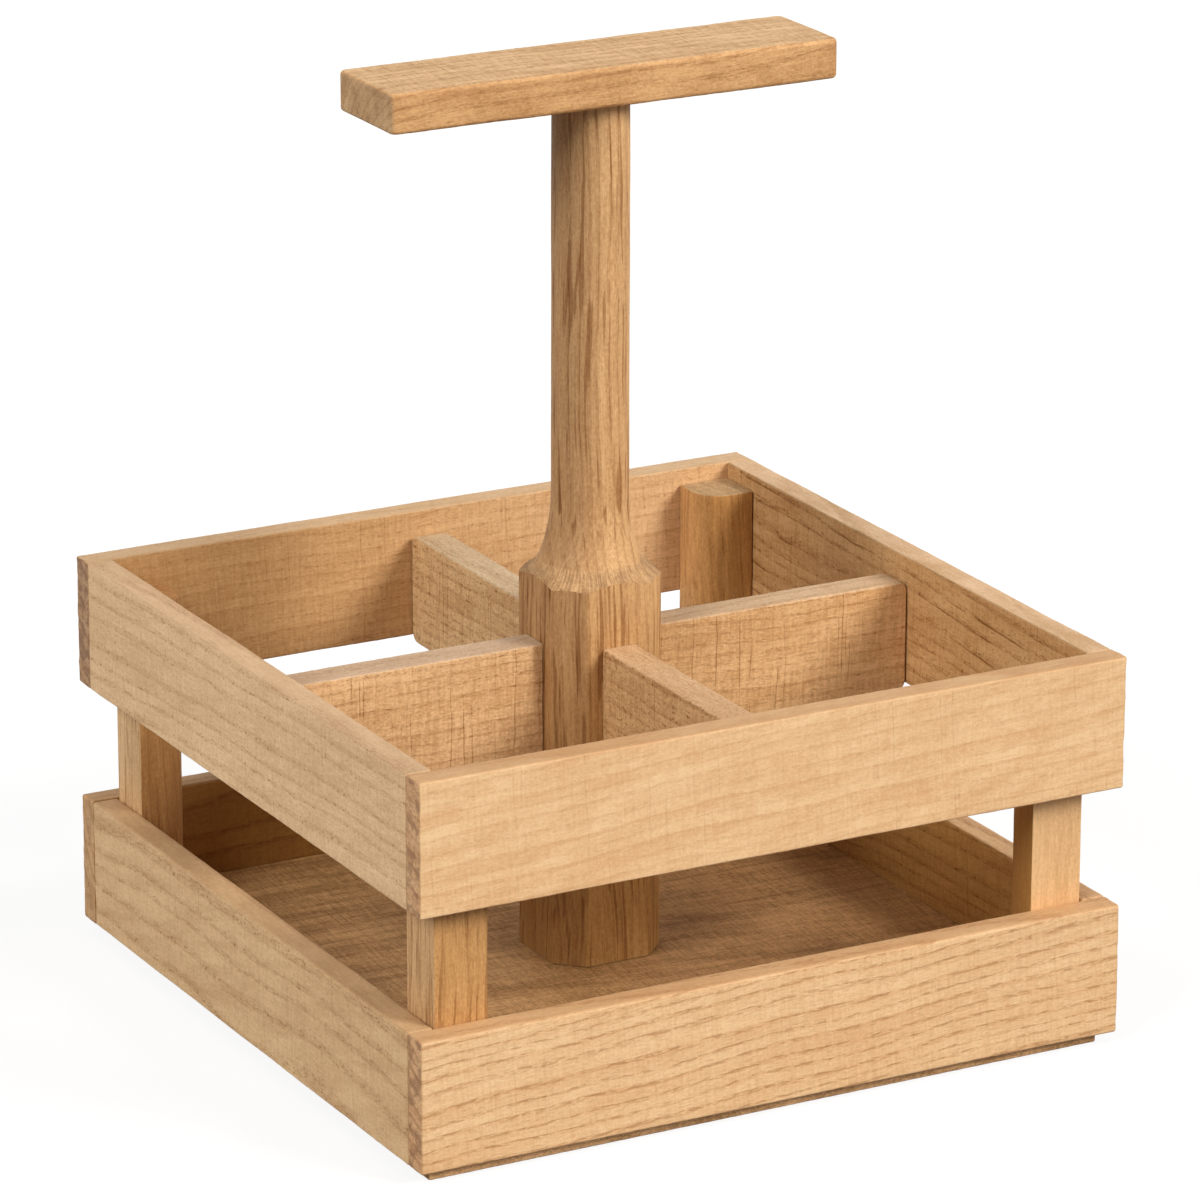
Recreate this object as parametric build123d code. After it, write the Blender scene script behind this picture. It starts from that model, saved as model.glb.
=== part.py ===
from build123d import *
from math import asin, cos, degrees, sin
import os

# Oak condiment caddy: two rings of rails on corner posts, a base board, a central handle post with
# a bar across its top, and four dividers. Millimetres. X runs along the front from left to right,
# Y from front to back, Z up. The origin is the centre of the underside.

# Rings of rails
ring_width = 200.0            # length of the front and back rails
ring_depth = 200.0            # over the outer faces of the front and back rails
rail_thickness = 7.2
rail_height = 35.0
rail_gap = 31.7               # open band between the lower and the upper ring
rail_edge_round = 0.6

# Base board, rebated so that the lower rails sit on its edge
base_thickness = 12.0
plinth_height = 3.4           # what shows below the lower rails
plinth_inset = 3.8            # from the outer faces of the rails
plinth_edge_round = 0.6
panel_clearance = 0.1         # raised panel to the inner faces of the rails

# Corner posts
corner_post_size = 15.0
corner_post_round = 8.0       # rounded edge towards the compartment
corner_post_drop = 9.0        # top of the post below the rim
tall_post_drop = 4.4          # the same at the back right corner, where the post stands higher

# Handle post
post_size = 32.0              # across the flats of the eight-sided foot
post_chamfer = 6.8
post_edge_round = 0.8
shaft_diameter = 20.0
sweep_rise = 30.9             # where the shoulder meets the shaft, above the rim
sweep_radius = 48.0           # long upper arc of the shoulder
sweep_height = 15.4           # height of that arc
cove_radius = 10.8            # tight lower arc of the shoulder
tenon_diameter = 12.0
tenon_length = 6.0
tenon_clearance = 0.05
tenon_glue_gap = 0.3

# Handle bar
handle_length = 127.0
handle_width = 30.0
handle_thickness = 10.5
handle_rise = 135.4           # underside of the bar above the rim
handle_corner_round = 2.0     # upright edges at the ends
handle_edge_round = 1.2       # all round its top and its underside

# Dividers
divider_thickness = 9.5
divider_height = 30.0
divider_drop = 6.5            # top of the divider below the rim
divider_corner_round = 2.5    # corners at the rails, seen from the side
divider_edge_round = 0.8

# Dowels
dowel_diameter = 4.0
dowel_clearance = 0.05
dowel_glue_gap = 0.3          # spare depth of each hole
dowel_edge_round = 0.3
dowel_in_rail = 4.0
dowel_in_corner_post = 5.0
dowel_in_divider = 8.0        # divider end at the rail
dowel_in_post = 6.0           # each side of the joint at the handle post
dowel_margin = 4.3            # first and last dowel from the ends of the stretch where rail meets post
dowels_per_rail_end = 2
divider_dowel_spacing = 14.0

# Wood screws from below
corner_screw_diameter = 3.0
corner_screw_head = 6.0
corner_screw_length = 25.0
corner_screw_shift = 1.0      # from the middle of the post towards the compartment
post_screw_diameter = 5.0
post_screw_head = 9.5
post_screw_length = 45.0
screw_recess = 0.4            # head below the underside of the base board
screw_clearance = 0.05
screw_head_clearance = 0.15
screw_tip_share = 0.12        # pointed end, as a share of the screw's length
screw_tip_gap = 1.0           # spare depth of the pilot hole
recess_depth_share = 0.22     # cross recess, as shares of the head diameter
recess_width_share = 0.14
recess_span_share = 0.56

cut_overrun = 1.0

# Levels and faces that several pieces share
lower_bottom = plinth_height
lower_top = lower_bottom + rail_height
upper_bottom = lower_top + rail_gap
rim = upper_bottom + rail_height
inner_x = ring_width / 2 - rail_thickness
inner_y = ring_depth / 2 - rail_thickness
corner_post_top = rim - corner_post_drop
corner_x = inner_x - corner_post_size / 2
corner_y = inner_y - corner_post_size / 2
sweep_top = rim + sweep_rise
handle_bottom = rim + handle_rise
divider_top = rim - divider_drop
divider_bottom = divider_top - divider_height
post_face = post_size / 2
dowel_hole = dowel_diameter + 2 * dowel_clearance
on_floor = (Align.CENTER, Align.CENTER, Align.MIN)
# Underside of each ring, and the stretch of height over which its rails meet the corner posts
rings = {"lower": (lower_bottom, base_thickness, lower_top),
         "upper": (upper_bottom, upper_bottom, corner_post_top)}
sides = ("front", "back", "left", "right")
corners = {"front_left": (-1, -1), "front_right": (1, -1), "back_left": (-1, 1), "back_right": (1, 1)}
corner_post_tops = {name: corner_post_top for name in corners}
corner_post_tops["back_right"] = rim - tall_post_drop


def pin(place, axis, length, diameter):
    """Cylinder that starts at place and runs along axis."""
    return Plane(origin=place, z_dir=axis) * Cylinder(diameter / 2, length, align=on_floor)


def dowel_and_hole(joint, axis, before, after):
    """Dowel across a joint face, before and after it along axis, and the hole for it."""
    start = Vector(*joint) - Vector(*axis) * before
    dowel = pin(start, axis, before + after, dowel_diameter)
    dowel = chamfer(dowel.edges().filter_by(GeomType.CIRCLE), dowel_edge_round)
    hole_start = start - Vector(*axis) * dowel_glue_gap
    hole = pin(hole_start, axis, before + after + 2 * dowel_glue_gap, dowel_hole)
    return dowel, hole


def rail_end_joints(ring, side):
    """Joint points and inward axis of the dowels at both ends of one rail.

    The two rails at a corner take turns up the post, so that their dowels don't meet inside it.
    """
    _, low, high = rings[ring]
    pitch = (high - low - 2 * dowel_margin) / (2 * dowels_per_rail_end - 1)
    first = 0 if side in ("front", "back") else 1
    levels = [low + dowel_margin + (2 * i + first) * pitch for i in range(dowels_per_rail_end)]
    if side in ("front", "back"):
        sign = -1 if side == "front" else 1
        return [((x * corner_x, sign * inner_y, z), (0, -sign, 0)) for x in (-1, 1) for z in levels]
    sign = -1 if side == "left" else 1
    return [((sign * inner_x, y * corner_y, z), (-sign, 0, 0)) for y in (-1, 1) for z in levels]


def divider_joints(side):
    """Joint points of one divider at its rail and at the handle post, and the axis outwards."""
    middle = (max(divider_bottom, upper_bottom) + divider_top) / 2
    levels = [middle - divider_dowel_spacing / 2, middle + divider_dowel_spacing / 2]
    axis = {"front": (0, -1, 0), "back": (0, 1, 0), "left": (-1, 0, 0), "right": (1, 0, 0)}[side]
    reach = inner_y if side in ("front", "back") else inner_x
    at_rail = [((axis[0] * reach, axis[1] * reach, z), axis) for z in levels]
    at_post = [((axis[0] * post_face, axis[1] * post_face, z), axis) for z in levels]
    return at_rail, at_post


rail_dowels = {(ring, side): [dowel_and_hole(joint, axis, dowel_in_rail, dowel_in_corner_post)
                              for joint, axis in rail_end_joints(ring, side)]
               for ring in rings for side in sides}
divider_rail_dowels = {side: [dowel_and_hole(joint, axis, dowel_in_divider, dowel_in_rail)
                              for joint, axis in divider_joints(side)[0]] for side in sides}
divider_post_dowels = {side: [dowel_and_hole(joint, axis, dowel_in_post, dowel_in_post)
                              for joint, axis in divider_joints(side)[1]] for side in sides}


def holes(pairs):
    return [hole for _, hole in pairs]


def dowels(pairs):
    return [dowel for dowel, _ in pairs]


def screw(diameter, head, length):
    """Countersunk wood screw standing head down, with the head's flat face on its own zero."""
    head_height = (head - diameter) / 2
    tip = length * screw_tip_share
    outline = Polyline((0, 0), (head / 2, 0), (diameter / 2, head_height), (diameter / 2, length - tip),
                       (0, length), close=True)
    body = revolve(Plane.XZ * make_face(outline), Axis.Z)
    depth = head * recess_depth_share
    span = head * recess_span_share
    width = head * recess_width_share
    slot = Box(span, width, depth, align=on_floor)
    return body - slot - Rot(0, 0, 90) * slot


def screw_hole(diameter, head, length):
    """Clearance hole, countersink and pilot hole for such a screw, from the underside up."""
    wide = head + 2 * screw_head_clearance
    shank = diameter + 2 * screw_clearance
    top = screw_recess + length + screw_tip_gap
    seat = screw_recess + (wide - shank) / 2
    outline = Polyline((0, -cut_overrun), (wide / 2, -cut_overrun), (wide / 2, screw_recess),
                       (shank / 2, seat), (shank / 2, top), (0, top), close=True)
    return revolve(Plane.XZ * make_face(outline), Axis.Z)


corner_screw_place = {name: Pos(x * (corner_x - corner_screw_shift), y * (corner_y - corner_screw_shift), 0)
                      for name, (x, y) in corners.items()}
corner_screw_hole = screw_hole(corner_screw_diameter, corner_screw_head, corner_screw_length)
post_screw_hole = screw_hole(post_screw_diameter, post_screw_head, post_screw_length)


def base_board():
    plinth = Box(ring_width - 2 * plinth_inset, ring_depth - 2 * plinth_inset, plinth_height, align=on_floor)
    plinth = fillet(plinth.edges().filter_by(Axis.Z) + plinth.edges().group_by(Axis.Z)[0], plinth_edge_round)
    panel_size = (2 * (inner_x - panel_clearance), 2 * (inner_y - panel_clearance))
    panel = Box(*panel_size, base_thickness, align=on_floor)
    board = plinth + panel - post_screw_hole
    for place in corner_screw_place.values():
        board -= place * corner_screw_hole
    return board


def rail(ring, side):
    bottom = rings[ring][0]
    if side in ("front", "back"):
        sign = -1 if side == "front" else 1
        size = (ring_width, rail_thickness)
        place = (0, sign * (inner_y + rail_thickness / 2), bottom)
    else:
        sign = -1 if side == "left" else 1
        size = (rail_thickness, 2 * inner_y)
        place = (sign * (inner_x + rail_thickness / 2), 0, bottom)
    board = Box(*size, rail_height, align=on_floor)
    board = Pos(*place) * fillet(board.edges(), rail_edge_round)
    cuts = holes(rail_dowels[ring, side])
    if ring == "upper":
        cuts += holes(divider_rail_dowels[side])
    return board - cuts


def corner_post(name):
    x, y = corners[name]
    section = Rectangle(corner_post_size, corner_post_size)
    inner = section.vertices().sort_by_distance((-x * corner_post_size, -y * corner_post_size))[0]
    section = fillet(inner, corner_post_round)
    place = Pos(x * corner_x, y * corner_y, base_thickness)
    post = extrude(place * section, corner_post_tops[name] - base_thickness)
    post -= corner_screw_place[name] * corner_screw_hole
    near = name.split("_")
    return post - [hole for ring in rings for side in near for hole in holes(rail_dowels[ring, side])]


def handle_post():
    turn = asin(sweep_height / sweep_radius)
    shaft = shaft_diameter / 2
    bend = Vector(shaft + sweep_radius * (1 - cos(turn)), sweep_top - sweep_height)
    cove_centre = bend + Vector(cos(turn), sin(turn)) * cove_radius
    sweep = CenterArc((shaft + sweep_radius, sweep_top), sweep_radius, 180, degrees(turn))
    cove = CenterArc(cove_centre, cove_radius, 180 + degrees(turn), 90 - degrees(turn))
    ledge = cove_centre.Y - cove_radius
    tenon = tenon_diameter / 2
    tip = handle_bottom + tenon_length
    outline = [sweep, cove,
               Polyline(sweep @ 0, (shaft, handle_bottom), (tenon, handle_bottom), (tenon, tip), (0, tip),
                        (0, base_thickness), (post_size, base_thickness), (post_size, ledge), cove @ 1)]
    turned = revolve(Plane.XZ * make_face(outline), Axis.Z)
    section = Rectangle(post_size, post_size)
    section = chamfer(section.vertices(), post_chamfer)
    section = fillet(section.vertices(), post_edge_round)
    post = turned & extrude(Pos(0, 0, base_thickness) * section, tip - base_thickness)
    post -= post_screw_hole
    return post - [hole for side in sides for hole in holes(divider_post_dowels[side])]


def handle_bar():
    bar = Box(handle_length, handle_width, handle_thickness, align=on_floor)
    bar = fillet(bar.edges().filter_by(Axis.Z), handle_corner_round)
    levels = bar.edges().group_by(Axis.Z)
    bar = Pos(0, 0, handle_bottom) * fillet(levels[0] + levels[-1], handle_edge_round)
    depth = tenon_length + tenon_glue_gap
    socket = pin((0, 0, handle_bottom), (0, 0, 1), depth, tenon_diameter + 2 * tenon_clearance)
    return bar - socket


def divider(side):
    reach = inner_y if side in ("front", "back") else inner_x
    slat = Box(reach - post_face, divider_thickness, divider_height,
               align=(Align.MIN, Align.CENTER, Align.MIN))
    slat = Pos(post_face, 0, divider_bottom) * slat
    outer_corners = slat.edges().filter_by(Axis.Y).group_by(Axis.X)[-1]
    slat = fillet(outer_corners, divider_corner_round)
    long_edges = slat.edges().filter_by(Axis.X) + slat.edges().filter_by(GeomType.CIRCLE)
    slat = fillet(long_edges, divider_edge_round)
    turn = {"right": 0, "back": 90, "left": 180, "front": 270}[side]
    return Rot(0, 0, turn) * slat - holes(divider_rail_dowels[side]) - holes(divider_post_dowels[side])


def corner_screws():
    body = Pos(0, 0, screw_recess) * screw(corner_screw_diameter, corner_screw_head, corner_screw_length)
    return Compound(children=[place * body for place in corner_screw_place.values()])


def post_screw():
    return Pos(0, 0, screw_recess) * screw(post_screw_diameter, post_screw_head, post_screw_length)


pieces = {"base_board": base_board(), "handle_post": handle_post(), "handle_bar": handle_bar()}
pieces |= {f"{ring}_rail_{side}": rail(ring, side) for ring in rings for side in sides}
pieces |= {f"corner_post_{name}": corner_post(name) for name in corners}
pieces |= {f"divider_{side}": divider(side) for side in sides}
pieces["rail_dowels"] = Compound(children=[d for pairs in rail_dowels.values() for d in dowels(pairs)])
pieces["divider_dowels"] = Compound(children=[
    d for side in sides for d in dowels(divider_rail_dowels[side]) + dowels(divider_post_dowels[side])])
pieces["corner_screws"] = corner_screws()
pieces["post_screw"] = post_screw()

os.makedirs("parts", exist_ok=True)
for name, piece in pieces.items():
    export_step(piece, f"parts/{name}.step")
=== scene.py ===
from math import asin, cos, radians, sin, sqrt

import bmesh
import bpy
from mathutils import Euler, Matrix, Vector


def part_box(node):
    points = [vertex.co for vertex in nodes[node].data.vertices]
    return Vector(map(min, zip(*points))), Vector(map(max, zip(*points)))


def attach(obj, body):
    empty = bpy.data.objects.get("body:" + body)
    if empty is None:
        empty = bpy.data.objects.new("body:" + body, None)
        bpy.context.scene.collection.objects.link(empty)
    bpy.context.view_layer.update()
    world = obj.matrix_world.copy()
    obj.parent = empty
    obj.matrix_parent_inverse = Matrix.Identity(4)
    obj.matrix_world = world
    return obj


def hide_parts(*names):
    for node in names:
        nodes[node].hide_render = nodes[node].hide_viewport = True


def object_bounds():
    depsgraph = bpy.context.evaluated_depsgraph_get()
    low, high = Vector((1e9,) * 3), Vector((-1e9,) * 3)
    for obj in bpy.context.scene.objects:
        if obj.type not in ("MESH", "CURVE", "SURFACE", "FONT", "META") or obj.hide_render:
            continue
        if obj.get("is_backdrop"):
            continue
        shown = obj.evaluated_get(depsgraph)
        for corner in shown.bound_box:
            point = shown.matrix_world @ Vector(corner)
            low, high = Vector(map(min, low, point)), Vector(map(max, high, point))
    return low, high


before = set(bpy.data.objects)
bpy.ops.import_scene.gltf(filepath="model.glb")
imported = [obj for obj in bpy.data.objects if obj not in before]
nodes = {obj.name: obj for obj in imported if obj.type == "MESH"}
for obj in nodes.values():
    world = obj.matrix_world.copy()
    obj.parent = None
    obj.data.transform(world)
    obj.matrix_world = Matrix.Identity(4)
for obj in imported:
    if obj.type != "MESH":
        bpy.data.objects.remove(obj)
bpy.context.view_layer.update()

MM = 0.001
X, Y, Z = 0, 1, 2

# Sizes that the boxes of the CAD nodes don't give, in metres
stile_round = 8.0 * MM            # inner edge of a corner post
slat_round = 2.5 * MM             # outer corners of a divider, seen from the side
grip_corner_round = 2.0 * MM      # upright edges of the bar
grip_edge_round = 1.1 * MM        # all round its top and its underside
plinth_height = 3.4 * MM
panel_step = 3.5 * MM             # from the plinth in to the floor panel
post_chamfer = 6.8 * MM
shaft_radius = 10.0 * MM
sweep_top = 136.0 * MM            # where the shoulder meets the shaft
sweep_radius = 48.0 * MM
sweep_height = 15.4 * MM
cove_radius = 10.8 * MM
corner_screw_place = 84.3 * MM
corner_countersink = 3.15 * MM
post_countersink = 4.9 * MM
countersink_recess = 0.4 * MM
hairline = 0.25 * MM              # joint between two pieces that meet

# Eased edges, and how ragged the ends of a board are
upper_board_edge = 0.5 * MM
upper_board_ragged = 0.5 * MM
lower_board_edge = 0.7 * MM
lower_board_ragged = 0.3 * MM
stile_edge = 0.4 * MM
slat_edge = 0.6 * MM
floor_edge = 0.6 * MM
stick_edge = 0.8 * MM
stick_arris = 0.5 * MM

# Depth of the wear on each kind of piece: uneven planing, rough arrises and saw strokes
board_wear = (0.30 * MM, 0.12 * MM, 0.06 * MM)
stile_wear = (0.22 * MM, 0.10 * MM, 0)
slat_wear = (0.28 * MM, 0.14 * MM, 0.11 * MM)
grip_wear = (0.35 * MM, 0.12 * MM, 0.08 * MM)
floor_wear = (0, 0.10 * MM, 0.07 * MM)
stick_planing = 0.25 * MM
stick_turning = 0.12 * MM

# Size of the patches in the wear textures, and where each kind of piece lies in them, in metres
planing_size = 26 * MM
arris_size = 3.2 * MM
stroke_size = 1.7 * MM
board_patch = (0.31, 0.17, 0.23)
stile_patch = (0.19, 0.37, 0.11)
slat_patch = (0.29, 0.13, 0.41)
grip_patch = (0.21, 0.43, 0.37)
floor_patch = (0.33, 0.27, 0.61)
stick_patch = (0.57, 0.21, 0.33)
turning_patch = (0.11, 0.47, 0.29)
stroke_stretch = 60               # how much longer than wide a saw stroke is

# Cuts that make a mesh fine enough for the wear: how many, and the length from which an edge is cut
board_length_cuts = ((18, 16), 20 * MM)
board_height_cuts = ((19,), 5 * MM)
board_thickness_cuts = ((4,), 3 * MM)
stile_cuts = ((40,), 20 * MM)
slat_length_cuts = ((9, 12), 30 * MM)
slat_height_cuts = ((7,), 15 * MM)
slat_end_margin = 0.9 * MM        # uncut stretch beyond the rounded corners
grip_length_cuts = ((12, 15), 20 * MM)
grip_width_cuts = ((6,), 15 * MM)
grip_thickness_cuts = ((2,), 4 * MM)
floor_length_cuts = ((16, 14), 20 * MM)
floor_width_cuts = ((30,), 20 * MM)
stick_cuts = ((46,), 20 * MM)

# Shaping
near = 0.1 * MM                   # two places closer than this count as one
seam = 0.002 * MM                 # points closer than this are merged
sharp_angle = 40                  # degrees between two faces that make an edge worth easing
smooth_angle = 38
stick_smooth_angle = 50
arris_angle = 28
cutter_overlap = 0.6 * MM
blank_share = 1.5                 # radius of the turned blank, as a share of half the foot
blank_overrun = 2 * MM            # the blank starts this far below the foot
stick_overrun = 1.5 * MM          # and the stick this far, to be cut off at the foot
ledge_step = 1 * MM
tenon_overlap = 0.3 * MM          # stick into the underside of the bar

# Light and view
room_light = 0.25
key_strength, key_azimuth, key_elevation, key_spread = 2.72, 36, 32, 24
key_colour = (1.0, 0.97, 0.93)
fill_strength, fill_azimuth, fill_elevation, fill_spread = 2.05, -70, 34, 30
fill_colour = (1.0, 0.99, 0.97)
paper_grey = 0.20
floor_lift = 0.84
floor_width = 14
floor_drop = 0.05 * MM
view_azimuth, view_elevation, view_roll = -28.375, 18.336, 0.129
view_distance = 1766.4 * MM
aim_right, aim_up = 2.62 * MM, 101.12 * MM
view_lens = 201.71


# Shaping by hand

def put_down():
    """Nothing selected, so that the next operator acts on its own piece alone."""
    if bpy.context.object is not None and bpy.context.object.mode != "OBJECT":
        bpy.ops.object.mode_set(mode="OBJECT")
    bpy.ops.object.select_all(action="DESELECT")


def take_up(piece):
    put_down()
    piece.select_set(True)
    bpy.context.view_layer.objects.active = piece


def open_up(piece):
    """Edit mode, with the whole piece selected."""
    take_up(piece)
    bpy.ops.object.mode_set(mode="EDIT")
    bpy.ops.mesh.select_all(action="SELECT")


def settle(piece):
    """Moves a piece's place into its mesh, so that its object sits at the origin."""
    take_up(piece)
    bpy.ops.object.transform_apply(location=True, rotation=True, scale=True)


def block(name, low, high):
    put_down()
    bpy.ops.mesh.primitive_cube_add(size=1, location=(low + high) / 2)
    piece = bpy.context.object
    piece.name = piece.data.name = name
    piece.scale = high - low
    settle(piece)
    return piece


def pick(piece, kind, wanted):
    """Selects the edges or faces of a piece that answer to wanted, and stays in edit mode."""
    take_up(piece)
    bpy.ops.object.mode_set(mode="EDIT")
    bpy.ops.mesh.select_mode(type=kind)
    bpy.ops.mesh.select_all(action="DESELECT")
    mesh = bmesh.from_edit_mesh(piece.data)
    for part in (mesh.edges if kind == "EDGE" else mesh.faces):
        if wanted(part):
            part.select_set(True)
    bmesh.update_edit_mesh(piece.data)


def runs(edge, axis, least=0.0):
    """True for an edge that lies along an axis and is longer than least."""
    step = edge.verts[1].co - edge.verts[0].co
    return step.length > least and abs(step[axis]) > 0.9999 * step.length


def sharp(edge):
    return edge.calc_face_angle(0) > radians(sharp_angle)


def middle(edge):
    return (edge.verts[0].co + edge.verts[1].co) / 2


def round_edges(piece, width, segments, wanted):
    pick(piece, "EDGE", wanted)
    bpy.ops.mesh.bevel(offset=width, offset_type="OFFSET", segments=segments, affect="EDGES")
    put_down()


def cut_along(piece, axis, cuts, least):
    """Divides the edges that lie along an axis, once for each number of cuts."""
    for number in cuts:
        pick(piece, "EDGE", lambda edge: runs(edge, axis, least / (number + 1)))
        bpy.ops.mesh.subdivide(number_cuts=number)
        least /= number + 1
    put_down()


def slice_at(piece, axis, place):
    open_up(piece)
    point, normal = Vector((0, 0, 0)), Vector((0, 0, 0))
    point[axis], normal[axis] = place, 1
    bpy.ops.mesh.bisect(plane_co=point, plane_no=normal)
    put_down()


def carve(piece, operation, tool):
    """Cuts a piece with a tool, or to the tool's shape, and clears the tool away."""
    take_up(piece)
    cut = piece.modifiers.new("carved", "BOOLEAN")
    cut.operation = operation
    cut.object = tool
    bpy.ops.object.modifier_apply(modifier=cut.name)
    bpy.data.objects.remove(tool)


def finish_mesh(piece, angle=smooth_angle):
    """Closed seams, faces outwards, and soft shading that keeps flat faces flat."""
    open_up(piece)
    bpy.ops.mesh.remove_doubles(threshold=seam)
    bpy.ops.mesh.normals_make_consistent(inside=False)
    take_up(piece)
    bpy.ops.object.shade_smooth_by_angle(angle=radians(angle))
    even = piece.modifiers.new("even shading", "WEIGHTED_NORMAL")
    even.keep_sharp = True
    even.weight = 80
    bpy.ops.object.modifier_apply(modifier=even.name)


def clouds(name, size, depth):
    texture = bpy.data.textures.new(name, "CLOUDS")
    texture.noise_scale = size
    texture.noise_depth = depth
    return texture


planing = clouds("uneven planing", planing_size, 1)
arrises = clouds("rough arrises", arris_size, 2)
sawing = clouds("saw strokes", stroke_size, 1)


def wear(piece, texture, depth, place, stretch=(1, 1, 1), only=""):
    """Pushes the surface, or one group of its points, in and out a little after a placed texture."""
    put_down()
    bpy.ops.object.empty_add(location=place)
    guide = bpy.context.object
    guide.scale = stretch
    bpy.context.view_layer.update()
    take_up(piece)
    push = piece.modifiers.new("wear", "DISPLACE")
    push.texture = texture
    push.texture_coords = "OBJECT"
    push.texture_coords_object = guide
    push.direction = "NORMAL"
    push.mid_level = 0.5
    push.strength = depth
    push.vertex_group = only
    bpy.ops.object.modifier_apply(modifier=push.name)
    bpy.data.objects.remove(guide)


def wear_in(piece, grain, depths, place):
    """The wear of a sawn piece. Its saw strokes run straight across the grain."""
    strokes = [stroke_stretch] * 3
    strokes[grain] = 1
    for texture, depth, stretch in zip((planing, arrises, sawing), depths, ((1, 1, 1), (1, 1, 1), strokes)):
        if depth:
            wear(piece, texture, depth, place, stretch)


def further(patch, turn):
    """Where the piece with this number lies in the wear textures, each one a patch further on."""
    return tuple(turn * step for step in patch)


# Wooden pieces

def rail(node, grain, turn):
    """Sawn board on edge: eased arrises, rough ends, saw strokes across it and a slightly uneven face."""
    low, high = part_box(node)
    if grain == Y:
        low.y += hairline / 2
        high.y -= hairline / 2
    upper = node.startswith("upper")
    board = block(node.replace("rail", "board"), low, high)
    round_edges(board, upper_board_edge if upper else lower_board_edge, 3, lambda e: True)
    cut_along(board, grain, *board_length_cuts)
    cut_along(board, Z, *board_height_cuts)
    cut_along(board, X if grain == Y else Y, *board_thickness_cuts)
    place = further(board_patch, turn)
    wear_in(board, grain, board_wear, place)
    pick(board, "FACE", lambda f: abs(f.normal[grain]) > 0.3)
    bpy.ops.object.vertex_group_assign_new()
    put_down()
    ragged = upper_board_ragged if upper else lower_board_ragged
    wear(board, arrises, ragged, (place[1], place[2], place[0]), only=board.vertex_groups[-1].name)
    finish_mesh(board)
    return board


def corner_post(node, turn):
    """Square stile with a rounded inner edge, a hairline clear of the boards that it carries."""
    low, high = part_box(node)
    centre = (low + high) / 2
    inner = Vector((low.x if centre.x > 0 else high.x, low.y if centre.y > 0 else high.y, 0))
    for axis in (X, Y):
        if centre[axis] > 0:
            high[axis] -= hairline
        else:
            low[axis] += hairline
    stile = block(node.replace("post", "stile"), low, high)
    round_edges(stile, stile_round, 10, lambda e: runs(e, Z) and (middle(e).xy - inner.xy).length < near)
    round_edges(stile, stile_edge, 2, sharp)
    cut_along(stile, Z, *stile_cuts)
    wear_in(stile, Z, stile_wear, further(stile_patch, turn))
    finish_mesh(stile)
    return stile


def divider(node, grain, turn):
    """Slat with its outer corners rounded, seen from the side, and its long edges eased."""
    low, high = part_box(node)
    low[grain] += hairline
    high[grain] -= hairline
    slat = block(node.replace("divider", "slat"), low, high)
    outer = high[grain] if high[grain] + low[grain] > 0 else low[grain]
    inward = -1 if outer > 0 else 1
    post_end = low[grain] if inward < 0 else high[grain]
    thick = Y if grain == X else X
    round_edges(slat, slat_round, 6, lambda e: runs(e, thick) and abs(middle(e)[grain] - outer) < near)
    round_edges(slat, slat_edge, 3, lambda e: not runs(e, thick) and abs(middle(e)[grain] - post_end) > near)
    slice_at(slat, grain, outer + inward * (slat_round + slat_end_margin))
    cut_along(slat, grain, *slat_length_cuts)
    cut_along(slat, Z, *slat_height_cuts)
    wear_in(slat, grain, slat_wear, further(slat_patch, turn))
    finish_mesh(slat)
    return slat


def handle_bar():
    low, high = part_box("handle_bar")
    bar = block("grip_bar", low, high)
    round_edges(bar, grip_corner_round, 5, lambda e: runs(e, Z))
    round_edges(bar, grip_edge_round, 3, sharp)
    cut_along(bar, X, *grip_length_cuts)
    cut_along(bar, Y, *grip_width_cuts)
    cut_along(bar, Z, *grip_thickness_cuts)
    wear_in(bar, X, grip_wear, grip_patch)
    finish_mesh(bar)
    return bar


def countersink(place, radius):
    """Cone under the floor that cuts the seat of one screw."""
    depth = radius + countersink_recess
    put_down()
    bpy.ops.mesh.primitive_cone_add(vertices=48, radius1=radius + cutter_overlap, radius2=cutter_overlap,
                                    depth=depth, location=(*place, depth / 2 - cutter_overlap))
    cone = bpy.context.object
    settle(cone)
    return cone


def base_board():
    """Board with a rebated edge: a low plinth, stepped in to the floor panel above it."""
    low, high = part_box("base_board")
    board = block("floor_board", low, Vector((high.x, high.y, low.z + plinth_height)))
    pick(board, "FACE", lambda f: f.normal.z > 0.9)
    bpy.ops.mesh.inset(thickness=panel_step, depth=0)
    bpy.ops.mesh.extrude_region_move(
        TRANSFORM_OT_translate={"value": (0, 0, high.z - low.z - plinth_height)})
    put_down()
    round_edges(board, floor_edge, 3, lambda e: sharp(e) and e.is_convex)
    cut_along(board, X, *floor_length_cuts)
    cut_along(board, Y, *floor_width_cuts)
    wear_in(board, X, floor_wear, floor_patch)
    carve(board, "DIFFERENCE", countersink((0, 0), post_countersink))
    for x in (-corner_screw_place, corner_screw_place):
        for y in (-corner_screw_place, corner_screw_place):
            carve(board, "DIFFERENCE", countersink((x, y), corner_countersink))
    finish_mesh(board)
    return board


# Shoulder of the handle post: the angle and the height at which its two arcs meet, and its lower end
shoulder_turn = asin(sweep_height / sweep_radius)
bend_z = sweep_top - sweep_height
ledge = bend_z + cove_radius * (sin(shoulder_turn) - 1)


def shoulder_radius(z):
    """Radius of the turned post at a height: the foot, two tangent arcs and the shaft."""
    if z >= sweep_top:
        return shaft_radius
    if z >= bend_z:
        return shaft_radius + sweep_radius - sqrt(sweep_radius ** 2 - (sweep_top - z) ** 2)
    centre = shaft_radius + sweep_radius * (1 - cos(shoulder_turn)) + cove_radius * cos(shoulder_turn)
    drop = min(ledge + cove_radius - z, cove_radius)
    return centre - sqrt(cove_radius ** 2 - drop ** 2)


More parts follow.
